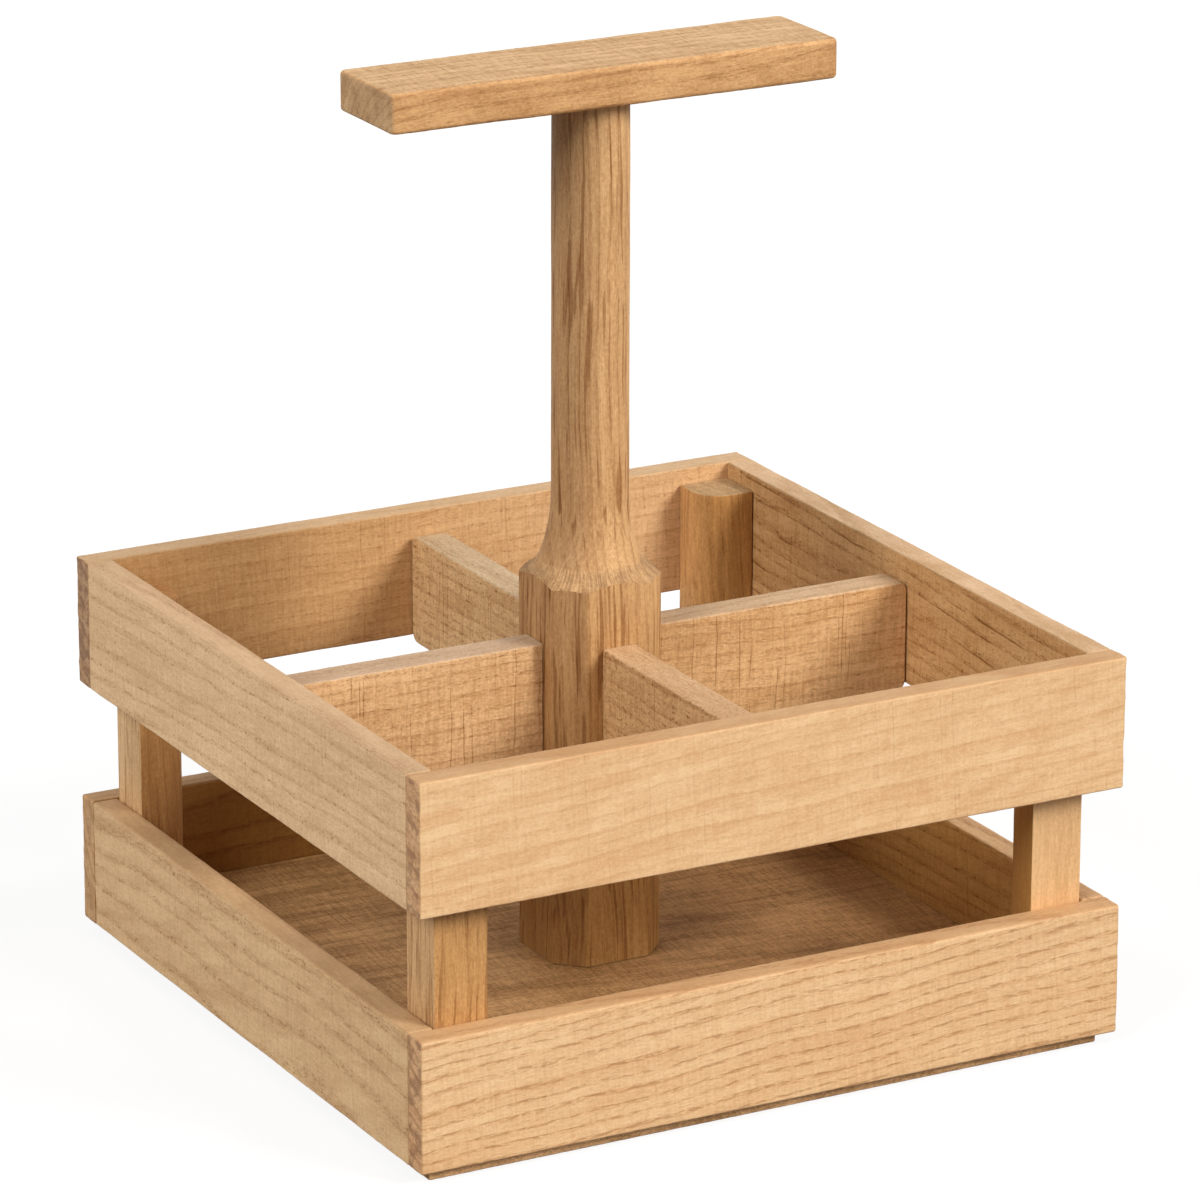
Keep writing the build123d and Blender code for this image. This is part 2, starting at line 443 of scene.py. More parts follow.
def turned_blank(low_z, top, wide):
    """Round blank, extruded ring by ring up the shoulder and the shaft."""
    at_z, radius = low_z - blank_overrun, wide
    put_down()
    bpy.ops.mesh.primitive_circle_add(vertices=224, radius=radius, fill_type="NGON", location=(0, 0, at_z))
    blank = bpy.context.object
    settle(blank)
    bpy.ops.object.mode_set(mode="EDIT")
    bpy.ops.mesh.select_mode(type="FACE")
    bpy.ops.mesh.select_all(action="SELECT")
    stations = [ledge - ledge_step, ledge]
    stations += [ledge + cove_radius * (1 - cos(radians(a))) for a in range(8, 68, 6)]
    stations += [bend_z + sweep_height * i / 10 for i in range(1, 11)]
    stations += [sweep_top + (top - sweep_top) * i / 24 for i in range(1, 25)]
    for z in stations:
        bpy.ops.mesh.extrude_region_move(TRANSFORM_OT_translate={"value": (0, 0, z - at_z)})
        next_radius = wide if z < ledge else min(shoulder_radius(z), wide)
        shrink = next_radius / radius
        bpy.ops.transform.resize(value=(shrink, shrink, 1), center_override=(0, 0, z))
        at_z, radius = z, next_radius
    put_down()
    finish_mesh(blank)
    return blank


def handle_post():
    """Eight-sided foot and a turned shoulder and shaft, as one stick."""
    low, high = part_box("handle_post")
    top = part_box("handle_bar")[0].z + tenon_overlap
    half = high.x
    blank = turned_blank(low.z, top, blank_share * half)
    stick = block("handle_stick", Vector((-half, -half, low.z - stick_overrun)), Vector((half, half, top)))
    round_edges(stick, post_chamfer, 1, lambda e: runs(e, Z))
    round_edges(stick, stick_edge, 3, lambda e: runs(e, Z))
    cut_along(stick, Z, *stick_cuts)
    carve(stick, "INTERSECT", blank)
    soft = stick.modifiers.new("soft arrises", "BEVEL")
    soft.width = stick_arris
    soft.segments = 2
    soft.limit_method = "ANGLE"
    soft.angle_limit = radians(arris_angle)
    bpy.ops.object.modifier_apply(modifier=soft.name)
    wear(stick, planing, stick_planing, stick_patch)
    wear(stick, sawing, stick_turning, turning_patch, (1, 1, stroke_stretch))
    open_up(stick)
    bpy.ops.mesh.bisect(plane_co=(0, 0, low.z + hairline), plane_no=(0, 0, 1), use_fill=True,
                        clear_inner=True)
    put_down()
    finish_mesh(stick, stick_smooth_angle)
    return stick


# Finishes

def tone(red, green, blue):
    """A colour as the eye reads it, 0 to 255, turned to the light values that shaders use."""
    share = [v / 255 for v in (red, green, blue)]
    return tuple(v / 12.92 if v <= 0.04045 else ((v + 0.055) / 1.055) ** 2.4 for v in share) + (1.0,)


class Bench:
    """Short names for the nodes of one material or group."""

    def __init__(self, tree):
        self.tree = tree

    def node(self, kind, **settings):
        made = self.tree.nodes.new(kind)
        for name, value in settings.items():
            setattr(made, name, value)
        return made

    def join(self, source, socket):
        if isinstance(source, bpy.types.NodeSocket):
            self.tree.links.new(source, socket)
        elif source is not None:
            socket.default_value = source

    def math(self, operation, a, b=None, clamp=False):
        made = self.node("ShaderNodeMath", operation=operation, use_clamp=clamp)
        self.join(a, made.inputs[0])
        self.join(b, made.inputs[1])
        return made.outputs[0]

    def times(self, a, b, clamp=False):
        return self.math("MULTIPLY", a, b, clamp)

    def plus(self, a, b):
        return self.math("ADD", a, b)

    def sum(self, *values):
        total = values[0]
        for value in values[1:]:
            total = self.plus(total, value)
        return total

    def rest(self, value):
        """What is left of 1."""
        return self.math("SUBTRACT", 1.0, value)

    def about_zero(self, value):
        """A value that swings about a half, moved to swing about zero."""
        return self.math("SUBTRACT", value, 0.5)

    def vector(self, operation, a, b=None):
        made = self.node("ShaderNodeVectorMath", operation=operation)
        self.join(a, made.inputs[0])
        self.join(b, made.inputs[1])
        return made.outputs["Value" if operation in ("DOT_PRODUCT", "LENGTH") else "Vector"]

    def split(self, place):
        made = self.node("ShaderNodeSeparateXYZ")
        self.join(place, made.inputs[0])
        return made.outputs

    def combine(self, *values):
        made = self.node("ShaderNodeCombineXYZ")
        for value, socket in zip(values, made.inputs):
            self.join(value, socket)
        return made.outputs[0]

    def noise(self, place, size, detail=0.0, roughness=0.5, seed=0.0, colour=False, turn=0):
        """Noise whose patches are about size long on each axis, turned by some degrees in the face."""
        if turn:
            lean = self.node("ShaderNodeMapping")
            self.join(place, lean.inputs["Vector"])
            lean.inputs["Rotation"].default_value = (0, 0, radians(turn))
            place = lean.outputs[0]
        spread = self.node("ShaderNodeMapping")
        self.join(place, spread.inputs["Vector"])
        spread.inputs["Scale"].default_value = [1 / s for s in size]
        spread.inputs["Location"].default_value = (seed, seed * 0.7, seed * 1.3)
        made = self.node("ShaderNodeTexNoise", noise_dimensions="3D")
        self.join(spread.outputs[0], made.inputs["Vector"])
        made.inputs["Scale"].default_value = 1.0
        made.inputs["Detail"].default_value = detail
        made.inputs["Roughness"].default_value = roughness
        return made.outputs["Color" if colour else 0]

    def chance(self, number):
        """A chance value that goes with a whole number."""
        made = self.node("ShaderNodeTexWhiteNoise", noise_dimensions="1D")
        self.join(number, made.inputs["W"])
        return made.outputs["Value"]

    def ease(self, value, low, high):
        """0 below low, 1 above high, smooth between."""
        made = self.node("ShaderNodeMapRange", interpolation_type="SMOOTHSTEP")
        self.join(value, made.inputs["Value"])
        made.inputs["From Min"].default_value = low
        made.inputs["From Max"].default_value = high
        return made.outputs[0]

    def mix(self, share, a, b, blend="MIX"):
        made = self.node("ShaderNodeMix", data_type="RGBA", blend_type=blend)
        self.join(share, made.inputs[0])
        self.join(a, made.inputs[6])
        self.join(b, made.inputs[7])
        return made.outputs[2]

    def tinted(self, colour, tint):
        return self.mix(1.0, colour, tint, "MULTIPLY")

    def seen_directly(self):
        """1 for what the camera sees, also in a mirror or through glass, and 0 for stray light."""
        seen = self.node("ShaderNodeLightPath").outputs
        straight = self.math("MAXIMUM", seen["Is Camera Ray"], seen["Is Glossy Ray"])
        return self.math("MAXIMUM", straight, seen["Is Transmission Ray"])


# What each board tells the oak: its place in the log, how strong each mark is, and its colours
oak_places = {"Board": (0, 0, 0), "Middle": (0, 0, 0), "Grain": (1, 0, 0), "Sawn face": (0, 0, 1)}
oak_amounts = {"Ring width": 2.8, "Rings": 1.0, "Pores": 0.5, "Specks": 0.3, "Saw strokes": 0.3,
               "Saw lines": 0.3, "Long lines": 0.0, "Streaks": 0.0, "Ripple": 0.4, "Flecks": 0.3,
               "Satin": 0.5, "Grit": 0.6, "Mottle": 0.5, "Calm edges": 0.45, "Inside fade": 0.0,
               "End reach": 0.0, "Teeth": 0.0}
oak_colours = {"Light": tone(232, 192, 140), "Dark": tone(206, 158, 103), "End tint": (0.74, 0.69, 0.68, 1),
               "Edge tint": (1, 1, 1, 1), "Inside tint": (1, 1, 1, 1), "Foot tint": (1, 1, 1, 1)}

# Size of each mark in the wood, in millimetres along the grain, across the face and into the board
drift_size, drift_reach = (70, 32, 32), (0, 7, 7)
waver_size, waver_reach = (16, 7, 7), (0, 0.6, 0.6)
ring_swing_size, ring_swing = (9, 9, 9), 1.6
pore_size = (4.0, 0.62, 0.62)
fine_pore_size = (2.4, 0.45, 0.45)
speck_size = (1.1, 0.7, 0.7)
ray_size, ray_wedges = (7.5, 0.9, 5.0), 60.0
fibre_size = (18, 0.8, 0.8)
fuzz_size = (2.4, 0.6, 0.6)
grit_size = (0.9, 0.6, 0.6)
broad_size = (60, 9, 9)
ripple_size, ripple_turn = (24, 4.5, 9), 14
streak_size = (44, 1.5, 1.5)
crack_size = (16, 2.2, 2.2)
thread_size = (26, 0.34, 0.34)
comb_size = (0.85, 9, 9)
saw_pitch = 1.15
saw_swing_size, saw_swing = (7, 12, 12), 1.6
saw_track_size, saw_track_step = (13, 13, 13), 13.7
dot_size = (3, 0.7, 0.7)
blotch_size = (9, 3.4, 3.4)
tick_size, tick_radius = (0.45, 7, 7), 14.0

# Where the painted shading of the inside faces fades and the painted shade of the foot ends, in millimetres
# from the middle along the grain
fade_reach = 70
foot_low, foot_high = -95, 15

# Tints of the pores and of stained end grain
pore_tint = (0.43, 0.29, 0.14, 1)
stain_tint = (0.56, 0.52, 0.52, 1)


def make_oak_group():
    """Oak as a solid: growth rings about a pith, pores in the early wood, rays, fibre and saw strokes.

    Board is the place in millimetres in the log, with the grain along X and the pith at zero, and Middle is
    the middle of the piece in the same log.
    """
    tree = bpy.data.node_groups.new("sawn oak", "ShaderNodeTree")
    for kind, sockets in (("Vector", oak_places), ("Float", oak_amounts), ("Color", oak_colours)):
        for name, value in sockets.items():
            made = tree.interface.new_socket(name, in_out="INPUT", socket_type="NodeSocket" + kind)
            made.default_value = value
    for name, kind in (("Colour", "Color"), ("Roughness", "Float"), ("Height", "Float")):
        tree.interface.new_socket(name, in_out="OUTPUT", socket_type="NodeSocket" + kind)
    b = Bench(tree)
    given = b.node("NodeGroupInput").outputs
    board = given["Board"]

    # Sawn faces, ends and edges, faces that lie level with the grain, and the place from the piece's middle
    normal = b.node("ShaderNodeNewGeometry").outputs["Normal"]
    faces = b.vector("DOT_PRODUCT", normal, given["Sawn face"])
    sawn = b.ease(b.math("ABSOLUTE", faces), 0.75, 0.97)
    tilt = b.math("ABSOLUTE", b.vector("DOT_PRODUCT", normal, given["Grain"]))
    level = b.rest(b.ease(tilt, 0.05, 0.30))
    ends = b.ease(b.plus(tilt, given["End reach"]), 0.60, 0.92)
    edges = b.times(b.rest(sawn), b.rest(ends))
    own = b.split(b.vector("SUBTRACT", board, given["Middle"]))

    # The grain wanders a little on its way along the board
    half = (0.5, 0.5, 0.5)
    drift = b.vector("SUBTRACT", b.noise(board, drift_size, 1.5, seed=3.1, colour=True), half)
    waver = b.vector("SUBTRACT", b.noise(board, waver_size, 1.0, seed=8.4, colour=True), half)
    log = b.vector("ADD", board, b.vector("MULTIPLY", drift, drift_reach))
    log = b.vector("ADD", log, b.vector("MULTIPLY", waver, waver_reach))
    along, across, through = b.split(log)
    radius = b.vector("LENGTH", b.vector("MULTIPLY", log, (0, 1, 1)))
    angle = b.math("ARCTAN2", through, across)

    # Growth rings
    uneven = b.about_zero(b.noise(b.combine(radius), ring_swing_size, 1.0, seed=31.2))
    ring = b.plus(b.math("DIVIDE", radius, given["Ring width"]), b.times(uneven, ring_swing))
    year = b.chance(b.math("FLOOR", ring))
    phase = b.math("FRACT", ring)
    early = b.times(b.ease(phase, 0.0, 0.10), b.rest(b.ease(phase, 0.18, 0.48)))
    early = b.times(early, given["Rings"])

    # Pores: dashes along the grain, in rows in the early wood, and small torn specks
    band = b.plus(0.12, b.times(early, 0.88))
    dash = b.times(b.ease(b.noise(log, pore_size, 1.5, 0.6, seed=1.7), 0.46, 0.60), band)
    fine = b.ease(b.noise(log, fine_pore_size, 0.0, seed=5.2), 0.56, 0.72)
    fine = b.times(fine, b.plus(0.25, b.times(band, 0.4)))
    pores = b.times(b.math("MAXIMUM", dash, fine), given["Pores"], clamp=True)
    specks = b.ease(b.noise(board, speck_size, 0.5, seed=12.6), 0.60, 0.74)
    specks = b.times(specks, b.plus(0.35, b.times(early, 0.65)))
    specks = b.times(specks, given["Specks"], clamp=True)

    # Rays: flat flecks that stand along the radius
    wedge = b.combine(along, b.times(angle, ray_wedges), radius)
    fleck = b.times(b.ease(b.noise(wedge, ray_size, 0.5, seed=4.4), 0.56, 0.66), given["Flecks"])

    # Fibre, broad changes of tone, long dark streaks and open lines along the rings
    fibre = b.about_zero(b.noise(log, fibre_size, 3.0, 0.62, seed=7.3))
    thread = b.about_zero(b.noise(log, thread_size, 1.0, 0.6, seed=23.1))
    satin = b.times(b.plus(fibre, b.times(thread, 0.7)), given["Satin"])
    fuzz = b.about_zero(b.noise(board, fuzz_size, 2.0, 0.6, seed=20.5))
    grit = b.times(b.about_zero(b.noise(board, grit_size, 1.5, 0.7, seed=27.4)), given["Grit"])
    broad = b.about_zero(b.noise(log, broad_size, 2.0, 0.5, seed=9.9))
    ripple = b.about_zero(b.noise(board, ripple_size, 1.0, seed=17.7, turn=ripple_turn))
    ripple = b.times(ripple, given["Ripple"])
    streak = b.times(b.ease(b.noise(log, streak_size, 1.5, 0.6, seed=15.3), 0.55, 0.66), level)
    streak = b.times(streak, given["Streaks"], clamp=True)
    crack = b.rest(b.ease(phase, 0.05, 0.20))
    crack = b.times(crack, b.ease(b.noise(log, crack_size, 1.0, seed=19.4), 0.48, 0.62))
    crack = b.times(crack, b.ease(year, 0.2, 0.7))
    crack = b.times(crack, given["Long lines"], clamp=True)

    # Saw strokes across the grain, on the sawn faces only
    comb = b.times(b.about_zero(b.noise(board, comb_size, 1.5, 0.6, seed=2.2)), sawn)
    comb = b.times(comb, given["Saw strokes"])
    swing = b.times(b.about_zero(b.noise(board, saw_swing_size, 1.0, seed=6.6)), saw_swing)
    stroke = b.split(board)
    step = b.math("DIVIDE", b.plus(stroke[0], swing), saw_pitch)
    tooth = b.math("FLOOR", step)
    away = b.math("ABSOLUTE", b.about_zero(b.math("FRACT", step)))
    track = b.combine(b.times(tooth, saw_track_step), stroke[1], stroke[2])
    line = b.times(b.rest(b.ease(away, 0.06, 0.19)), b.ease(b.chance(tooth), 0.62, 1.0))
    line = b.times(line, b.ease(b.noise(track, saw_track_size, 1.5, 0.6, seed=10.1), 0.42, 0.58))
    line = b.times(b.times(line, sawn), given["Saw lines"])

    # Colour along the grain
    share = b.sum(0.5, b.times(broad, 0.9), satin, ripple, b.times(fuzz, 0.8), b.times(grit, 2.0),
                  b.times(comb, 1.6), b.times(b.about_zero(year), 0.25), b.times(early, -0.32),
                  b.times(fleck, 0.35))
    plain = b.mix(b.math("ADD", share, 0.0, clamp=True), given["Dark"], given["Light"])
    depth = b.sum(b.times(pores, 0.55), b.times(specks, 0.55), b.times(streak, 0.65), b.times(crack, 0.70),
                  b.times(line, 0.65))
    calm = b.rest(b.times(edges, given["Calm edges"]))
    colour = b.mix(b.times(depth, calm, clamp=True), plain, b.tinted(plain, pore_tint))

    # Edges have their own tone, edge grain mixed with painted shading for how light falls on them; the inside
    # face gets painted shade, or painted light on the floor board, that can fade along the grain
    colour = b.mix(edges, colour, b.tinted(colour, given["Edge tint"]))
    # The painted inside shading fades out towards one end along the grain: a painted shadow of the post on
    # the back board, painted light on the floor board
    fade = b.times(b.ease(own[0], -fade_reach, fade_reach), given["Inside fade"])
    inside = b.times(b.ease(faces, -0.2, 0.95), b.rest(ends))
    inside = b.times(inside, b.rest(fade))
    colour = b.mix(inside, colour, b.tinted(colour, given["Inside tint"]))

    # End grain: duller, with ring bands, blotches, the pores as dots and the marks of a turning tool
    dots = b.ease(b.noise(board, dot_size, 2.0, 0.7, seed=13.0), 0.48, 0.62)
    blotch = b.ease(b.noise(board, blotch_size, 1.5, 0.6, seed=21.3), 0.42, 0.62)
    lathe = b.combine(b.times(b.math("ARCTAN2", own[2], own[1]), tick_radius), own[0])
    ticks = b.ease(b.noise(lathe, tick_size, 0.5, seed=33.8), 0.42, 0.58)
    spoil = b.sum(b.times(dots, 0.5), b.times(blotch, 0.8), b.times(early, 0.4),
                  b.times(ticks, given["Teeth"]))
    cut = b.tinted(plain, given["End tint"])
    cut = b.mix(b.times(spoil, given["Mottle"], clamp=True), cut, b.tinted(cut, stain_tint))
    colour = b.mix(ends, colour, cut)

    # Painted shade on the foot of a standing piece, darker towards its lower end
    foot = b.rest(b.ease(own[0], foot_low, foot_high))
    colour = b.mix(foot, colour, b.tinted(colour, given["Foot tint"]))

    # Relief in millimetres, and gloss
    height = b.sum(b.times(pores, -0.06), b.times(specks, -0.07), b.times(comb, 0.08), b.times(line, -0.06),
                   b.times(crack, -0.10), b.times(satin, 0.06), b.times(fuzz, 0.06), b.times(streak, -0.05),
                   b.times(grit, 0.12), b.times(b.times(dots, ends), -0.06))
    rough = b.sum(0.62, b.times(pores, 0.2), b.times(grit, 0.2), b.times(fleck, -0.10), b.times(ends, 0.12))
    made = b.node("NodeGroupOutput").inputs
    b.join(colour, made["Colour"])
    b.join(rough, made["Roughness"])
    b.join(height, made["Height"])
    return tree


oak_group = make_oak_group()
axis_vector = {X: (1, 0, 0), Y: (0, 1, 0), Z: (0, 0, 1)}
# Turns that bring the grain to X and the sawn face to Z, for each pair of grain and face
board_turn = {(X, Z): (0, 0, 0), (X, Y): (radians(90), 0, 0), (Y, X): (0, radians(-90), radians(-90)),
              (Z, Y): (radians(90), 0, radians(90)), (Z, X): (0, radians(90), 0)}
# A point between the boards, toward which each one's inside face looks
compartments_middle = Vector((0, 0, 60 * MM))
bump_strength = 0.8
oak_specular = 0.3


def oak(name, node, grain, face, pith, slope=(0, 0), inward=0, **amounts):
    """The oak of one node's piece. The log's heart lies at -pith from its middle, in mm; face is the sawn
    side, and inward, 1 or -1, says which way along that axis is the inside."""
    centre = (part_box(node)[0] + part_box(node)[1]) / 2
    if not inward:
        inward = 1 if (compartments_middle - centre)[face] > 0 else -1
    material = bpy.data.materials.new(name)
    material.use_nodes = True
    b = Bench(material.node_tree)
    shader = material.node_tree.nodes["Principled BSDF"]
    turn = board_turn[grain, face]
    lie = b.node("ShaderNodeMapping")
    b.join(b.node("ShaderNodeTexCoord").outputs["Object"], lie.inputs["Vector"])
    lie.inputs["Scale"].default_value = (1 / MM, 1 / MM, 1 / MM)
    lie.inputs["Rotation"].default_value = turn
    lie.inputs["Location"].default_value = -(Euler(turn).to_matrix() @ centre) / MM
    lean = b.node("ShaderNodeMapping")
    b.join(lie.outputs[0], lean.inputs["Vector"])
    lean.inputs["Rotation"].default_value = (0, radians(slope[1]), radians(slope[0]))
    lean.inputs["Location"].default_value = pith
    wood = b.node("ShaderNodeGroup")
    wood.node_tree = oak_group
    b.join(lean.outputs[0], wood.inputs["Board"])
    wood.inputs["Middle"].default_value = pith
    wood.inputs["Grain"].default_value = axis_vector[grain]
    wood.inputs["Sawn face"].default_value = inward * Vector(axis_vector[face])
    for amount, value in amounts.items():
        socket = wood.inputs[amount.replace("_", " ")]
        socket.default_value = value if isinstance(value, float) else (*value[:3], 1)
    bump = b.node("ShaderNodeBump")
    bump.inputs["Strength"].default_value = bump_strength
    bump.inputs["Distance"].default_value = MM
    b.join(wood.outputs["Height"], bump.inputs["Height"])
    b.join(wood.outputs["Colour"], shader.inputs["Base Color"])
    b.join(wood.outputs["Roughness"], shader.inputs["Roughness"])
    b.join(bump.outputs[0], shader.inputs["Normal"])
    shader.inputs["Specular IOR Level"].default_value = oak_specular
    return material


def screw_steel():
    stain_size = 1.6 * MM
    material = bpy.data.materials.new("zinc-plated steel")
    material.use_nodes = True
    b = Bench(material.node_tree)
    shader = material.node_tree.nodes["Principled BSDF"]
    place = b.node("ShaderNodeTexCoord").outputs["Object"]
    stain = b.noise(place, (stain_size,) * 3, 3.0, 0.6, seed=2.0)
    b.join(b.mix(stain, tone(150, 150, 152), tone(214, 214, 216)), shader.inputs["Base Color"])
    b.join(b.plus(0.22, b.times(stain, 0.3)), shader.inputs["Roughness"])
    shader.inputs["Metallic"].default_value = 1.0
    return material


# The caddy

def place_piece(piece, node, material):
    piece.data.materials.clear()
    piece.data.materials.append(material)
    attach(piece, "root")
    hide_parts(node)


# The edge tone of each board sets the colour of its top: edge grain, darkened as painted shade where less
# light falls on the tops
front_tones = dict(Light=tone(240, 202, 154), Dark=tone(221, 173, 124), Edge_tint=(0.74, 0.69, 0.64),
                   End_tint=(0.88, 0.81, 0.79))
left_tones = dict(Light=tone(240, 203, 158), Dark=tone(212, 172, 128), Edge_tint=(0.77, 0.75, 0.75))
low_left_tones = dict(Light=tone(231, 193, 145), Dark=tone(205, 164, 118), Edge_tint=(0.80, 0.77, 0.75))
back_tones = dict(Light=tone(240, 198, 150), Dark=tone(212, 165, 115), Edge_tint=(0.84, 0.90, 1.0))
right_tones = dict(Light=tone(240, 198, 150), Dark=tone(210, 163, 112), Edge_tint=(0.91, 0.97, 1.12))
low_inner_tones = dict(Light=tone(236, 196, 148), Dark=tone(206, 162, 114), Edge_tint=(0.82, 0.80, 0.80))

# The inside tints of the back and right boards are painted shade on their inside faces, darkest on the lower
# boards; on the upper back board it fades along the board, a painted shadow of the post on its left part
boards = {
    "upper_rail_front": dict(pith=(40, 60, 8), slope=(3, 2.5), Ring_width=3.3, Rings=0.6, Pores=0.3,
                             Saw_strokes=0.4, Saw_lines=0.3, Specks=0.3, Ripple=1.0, Flecks=0.5, Mottle=1.0,
                             **front_tones),
    "lower_rail_front": dict(pith=(300, 60, 20), slope=(3.5, 0), Ring_width=3.2, Pores=0.95, Rings=0.9,
                             Saw_strokes=0.5, Saw_lines=0.15, Ripple=0.5, Mottle=1.0, **front_tones),
    "upper_rail_left": dict(pith=(90, 45, 30), slope=(2, 0), Ring_width=4.4, Rings=0.8, Pores=0.4,
                            Saw_strokes=0.5, Saw_lines=0.2, Specks=1.3, Ripple=0.9, **left_tones),
    "lower_rail_left": dict(pith=(610, 30, 36), slope=(2, 2), Ring_width=5.0, Rings=0.9, Pores=0.5,
                            Saw_strokes=0.5, Saw_lines=0.35, Specks=1.0, Ripple=1.4, **low_left_tones),
    "upper_rail_back": dict(pith=(-210, 48, 22), slope=(2, 2), Ring_width=3.0, Rings=0.5, Pores=0.5,
                            Saw_strokes=0.7, Saw_lines=0.4, Specks=0.9, Mottle=1.0,
                            End_tint=(0.66, 0.64, 0.70), Inside_tint=(0.68, 0.63, 0.51), Inside_fade=0.78,
                            **back_tones),
    "lower_rail_back": dict(pith=(520, 30, 40), slope=(3, 1), Ring_width=4.5, Rings=0.9, Pores=0.8,
                            Saw_strokes=0.6, Saw_lines=0.2, Long_lines=0.3, End_tint=(0.86, 0.82, 0.80),
                            Inside_tint=(0.44, 0.33, 0.14), **low_inner_tones),
    "upper_rail_right": dict(pith=(-330, 50, 16), slope=(-2.5, 0), Ring_width=4.2, Rings=0.7, Pores=0.9,
                             Saw_strokes=0.7, Saw_lines=0.5, Long_lines=1.3, Specks=1.8, Ripple=1.5,
                             Calm_edges=0.8, Inside_tint=(0.70, 0.65, 0.54), **right_tones),
    "lower_rail_right": dict(pith=(-700, 40, 33), slope=(3, 1), Ring_width=3.6, Rings=0.8, Pores=0.9,
                             Saw_strokes=0.8, Saw_lines=0.5, Long_lines=0.4, Specks=1.4,
                             Inside_tint=(0.61, 0.51, 0.29), **low_inner_tones),
}
for turn, (node, wood) in enumerate(boards.items(), 1):
    grain, face = (X, Y) if node.endswith(("front", "back")) else (Y, X)
    material = oak(node.replace("_", " ").replace("rail", "board"), node, grain, face, **wood)
    place_piece(rail(node, grain, turn), node, material)

# The inside tints of the stiles are painted shade on their faces towards the compartments
stiles = {
    "front_left": dict(face=Y, Light=tone(212, 162, 103), Dark=tone(174, 123, 70), Pores=0.5, Long_lines=0.9,
                       Streaks=0.8, Edge_tint=(1.10, 1.24, 1.62), End_tint=(0.78, 0.70, 0.60)),
    "front_right": dict(face=X, Light=tone(244, 200, 147), Dark=tone(219, 171, 119), Pores=0.2,
                        Long_lines=0.1, Streaks=0.0, Inside_tint=(0.50, 0.40, 0.22),
                        End_tint=(0.70, 0.64, 0.56)),
    "back_left": dict(face=Y, Light=tone(233, 194, 146), Dark=tone(192, 151, 104), Pores=0.5, Long_lines=0.9,
                      Streaks=0.7, Inside_tint=(0.59, 0.46, 0.30), End_tint=(0.76, 0.60, 0.44)),
    "back_right": dict(face=Y, Light=tone(217, 169, 113), Dark=tone(178, 129, 77), Pores=0.5, Long_lines=0.7,
                       Streaks=0.5, Inside_tint=(0.82, 0.75, 0.58), End_tint=(0.90, 1.04, 1.30)),
}
for turn, (name, wood) in enumerate(stiles.items(), 1):
    node = "corner_post_" + name
    pith = (130 * turn, 24 + 4 * turn, 38 - 7 * turn)
    material = oak("corner stile " + name, node, Z, pith=pith, slope=(1, 1), Ring_width=2.6, Rings=0.4,
                   Saw_strokes=0.0, Saw_lines=0.0, Ripple=0.0, Satin=0.9, Calm_edges=0.0, Mottle=0.35, **wood)
    place_piece(corner_post(node, turn), node, material)

# The edge tint of each slat sets the colour of its top: edge grain, with painted shading for how light falls
# on it
slats = {
    "front": dict(Light=tone(208, 169, 121), Dark=tone(177, 134, 87), Edge_tint=(1.16, 1.20, 1.40),
                  Specks=3.0, Grit=0.9),
    "right": dict(Light=tone(232, 189, 137), Dark=tone(204, 156, 103), Edge_tint=(0.87, 0.96, 1.22),
                  Specks=0.9, Grit=1.0),
    "back": dict(Light=tone(218, 183, 136), Dark=tone(188, 148, 102), Edge_tint=(0.92, 1.0, 1.20),
                 Specks=2.6, Grit=0.9),
    "left": dict(Light=tone(231, 190, 141), Dark=tone(200, 155, 106), Edge_tint=(0.77, 0.84, 1.07),
                 Specks=0.9, Grit=1.0),
}
for turn, (name, wood) in enumerate(slats.items(), 1):
    node = "divider_" + name
    grain, face = (Y, X) if name in ("front", "back") else (X, Y)
    material = oak("slat " + name, node, grain, face, pith=(170 * turn, 32 + 6 * turn, 18), slope=(-0.5, 1),
                   Ring_width=3.0, Rings=0.6, Pores=0.8, Saw_strokes=0.9, Saw_lines=1.0, Ripple=0.8, **wood)
    place_piece(divider(node, grain, turn), node, material)

grip_oak = oak(
    "grip bar", "handle_bar", X, Z, pith=(60, 34, 22), slope=(2, 3), Ring_width=2.8, Rings=0.6, Pores=1.0,
    Saw_strokes=0.8, Saw_lines=0.6, Specks=0.6, Ripple=1.3, Grit=0.8, Satin=0.8, Mottle=0.35, Calm_edges=0.0,
    Light=tone(225, 187, 141), Dark=tone(191, 149, 104), Edge_tint=(1.0, 0.87, 0.72),
    End_tint=(0.87, 0.84, 0.82))
# The stick's inside tint is painted shade on its left side, and its foot tint is painted shade on its lower
# end
stick_oak = oak(
    "handle stick", "handle_post", Z, X, pith=(0, 11.5, 27.7), slope=(1, 1.2), inward=-1, Ring_width=2.6,
    Rings=0.5, Pores=0.6, Saw_strokes=0.0, Saw_lines=0.0, Long_lines=0.8, Streaks=1.2, Ripple=0.0, Satin=1.0,
    Mottle=0.3, Teeth=1.8, Calm_edges=0.0, End_reach=0.28, Light=tone(233, 188, 134), Dark=tone(193, 145, 95),
    End_tint=(0.88, 0.90, 0.94), Inside_tint=(0.67, 0.64, 0.62), Foot_tint=(0.67, 0.60, 0.42))
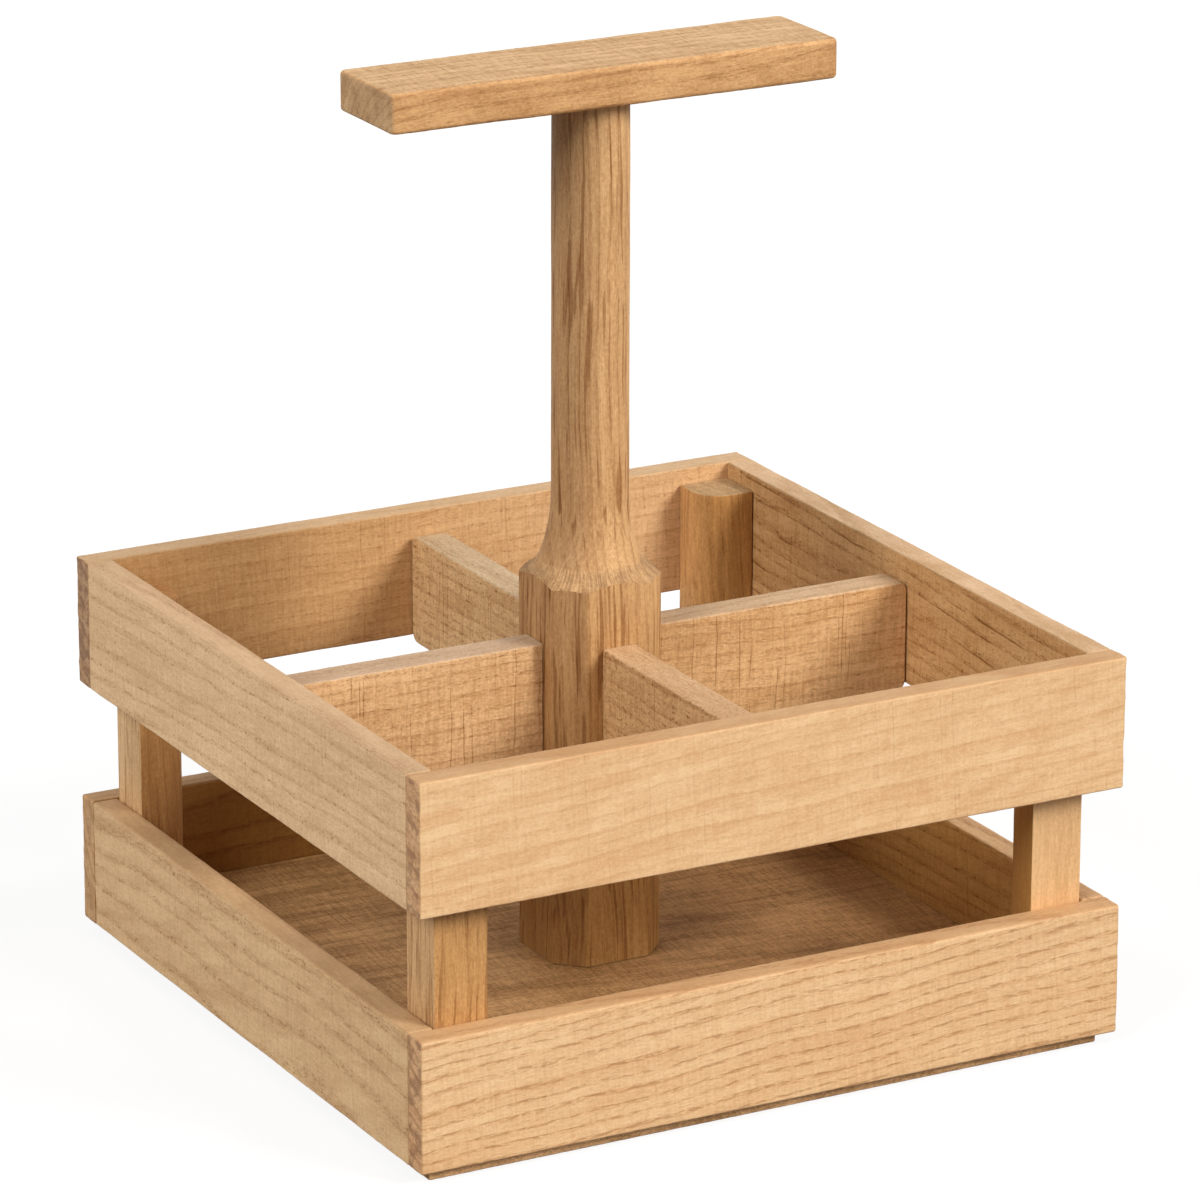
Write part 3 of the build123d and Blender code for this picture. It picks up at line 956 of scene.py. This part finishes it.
# The floor board's edge tint lightens its plinth, painted light in the shade under the boards, and its inside
# tint lightens its top face as painted light, fading along the grain
floor_oak = oak(
    "floor board", "base_board", X, Z, pith=(410, 18, 31), slope=(2, 1), Ring_width=3.8, Rings=0.45,
    Pores=0.6, Saw_strokes=0.8, Saw_lines=0.6, Streaks=0.3, Satin=0.7, Ripple=1.0, Grit=0.9, Specks=0.6,
    Calm_edges=0.8, Inside_fade=1.0, Light=tone(196, 150, 98), Dark=tone(140, 100, 57),
    Edge_tint=(1.75, 1.88, 2.30), Inside_tint=(1.22, 1.32, 1.46))
place_piece(handle_bar(), "handle_bar", grip_oak)
place_piece(handle_post(), "handle_post", stick_oak)
place_piece(base_board(), "base_board", floor_oak)

dowel_wood = oak("dowel beech", "rail_dowels", X, Z, pith=(15, 20, 30), Ring_width=2.0, Pores=0.3,
                 Saw_strokes=0.0, Saw_lines=0.0, Light=tone(224, 190, 150), Dark=tone(200, 160, 118))
steel = screw_steel()
for node, material in (("rail_dowels", dowel_wood), ("divider_dowels", dowel_wood),
                       ("corner_screws", steel), ("post_screw", steel)):
    nodes[node].data.materials.clear()
    nodes[node].data.materials.append(material)


# Floor, light and camera

def pale_floor():
    put_down()
    bpy.ops.mesh.primitive_plane_add(size=floor_width, location=(0, 0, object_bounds()[0].z - floor_drop))
    floor = bpy.context.object
    floor.name = "pale_floor"
    material = bpy.data.materials.new("pale paper")
    material.use_nodes = True
    tree = material.node_tree
    tree.nodes.remove(tree.nodes["Principled BSDF"])
    b = Bench(tree)
    paper = b.node("ShaderNodeBsdfDiffuse")
    paper.inputs["Color"].default_value = (paper_grey, paper_grey, paper_grey, 1)
    lift = b.node("ShaderNodeEmission")
    b.join(b.times(b.seen_directly(), floor_lift), lift.inputs["Strength"])
    both = b.node("ShaderNodeAddShader")
    b.join(paper.outputs[0], both.inputs[0])
    b.join(lift.outputs[0], both.inputs[1])
    b.join(both.outputs[0], tree.nodes["Material Output"].inputs["Surface"])
    floor.data.materials.append(material)
    floor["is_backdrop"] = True


def toward(azimuth, elevation):
    """Direction from the caddy to a lamp or the camera. Azimuth 0 is straight in front."""
    turn, rise = radians(azimuth), radians(elevation)
    return Vector((sin(turn) * cos(rise), -cos(turn) * cos(rise), sin(rise)))


def soft_sun(name, strength, azimuth, elevation, spread, colour):
    put_down()
    bpy.ops.object.light_add(type="SUN", location=(0, 0, 2))
    lamp = bpy.context.object
    lamp.name = name
    lamp.data.energy = strength
    lamp.data.angle = radians(spread)
    lamp.data.color = colour
    lamp.rotation_mode = "QUATERNION"
    lamp.rotation_quaternion = toward(azimuth, elevation).to_track_quat("Z", "Y")


def studio_light():
    world = bpy.data.worlds.new("white room")
    bpy.context.scene.world = world
    world.use_nodes = True
    b = Bench(world.node_tree)
    wall = world.node_tree.nodes["Background"]
    wall.inputs["Color"].default_value = (1, 1, 1, 1)
    b.join(b.plus(room_light, b.times(b.seen_directly(), 1 - room_light)), wall.inputs["Strength"])
    soft_sun("front key", key_strength, key_azimuth, key_elevation, key_spread, key_colour)
    soft_sun("left fill", fill_strength, fill_azimuth, fill_elevation, fill_spread, fill_colour)


def photo_camera():
    turn, roll = radians(view_azimuth), radians(view_roll)
    back = toward(view_azimuth, view_elevation)
    right = Vector((cos(turn), sin(turn), 0))
    up = back.cross(right)
    aim = right * aim_right + up * aim_up
    across = right * cos(roll) + up * sin(roll)
    upright = up * cos(roll) - right * sin(roll)
    put_down()
    bpy.ops.object.camera_add()
    camera = bpy.context.object
    camera.data.sensor_width = 36
    camera.data.lens = view_lens
    camera.data.clip_start, camera.data.clip_end = 0.1, 50
    camera.matrix_world = Matrix.Translation(aim + back * view_distance) @ Matrix(
        (across, upright, back)).transposed().to_4x4()
    bpy.context.scene.camera = camera


pale_floor()
studio_light()
photo_camera()
bpy.context.scene.view_settings.view_transform = "Standard"
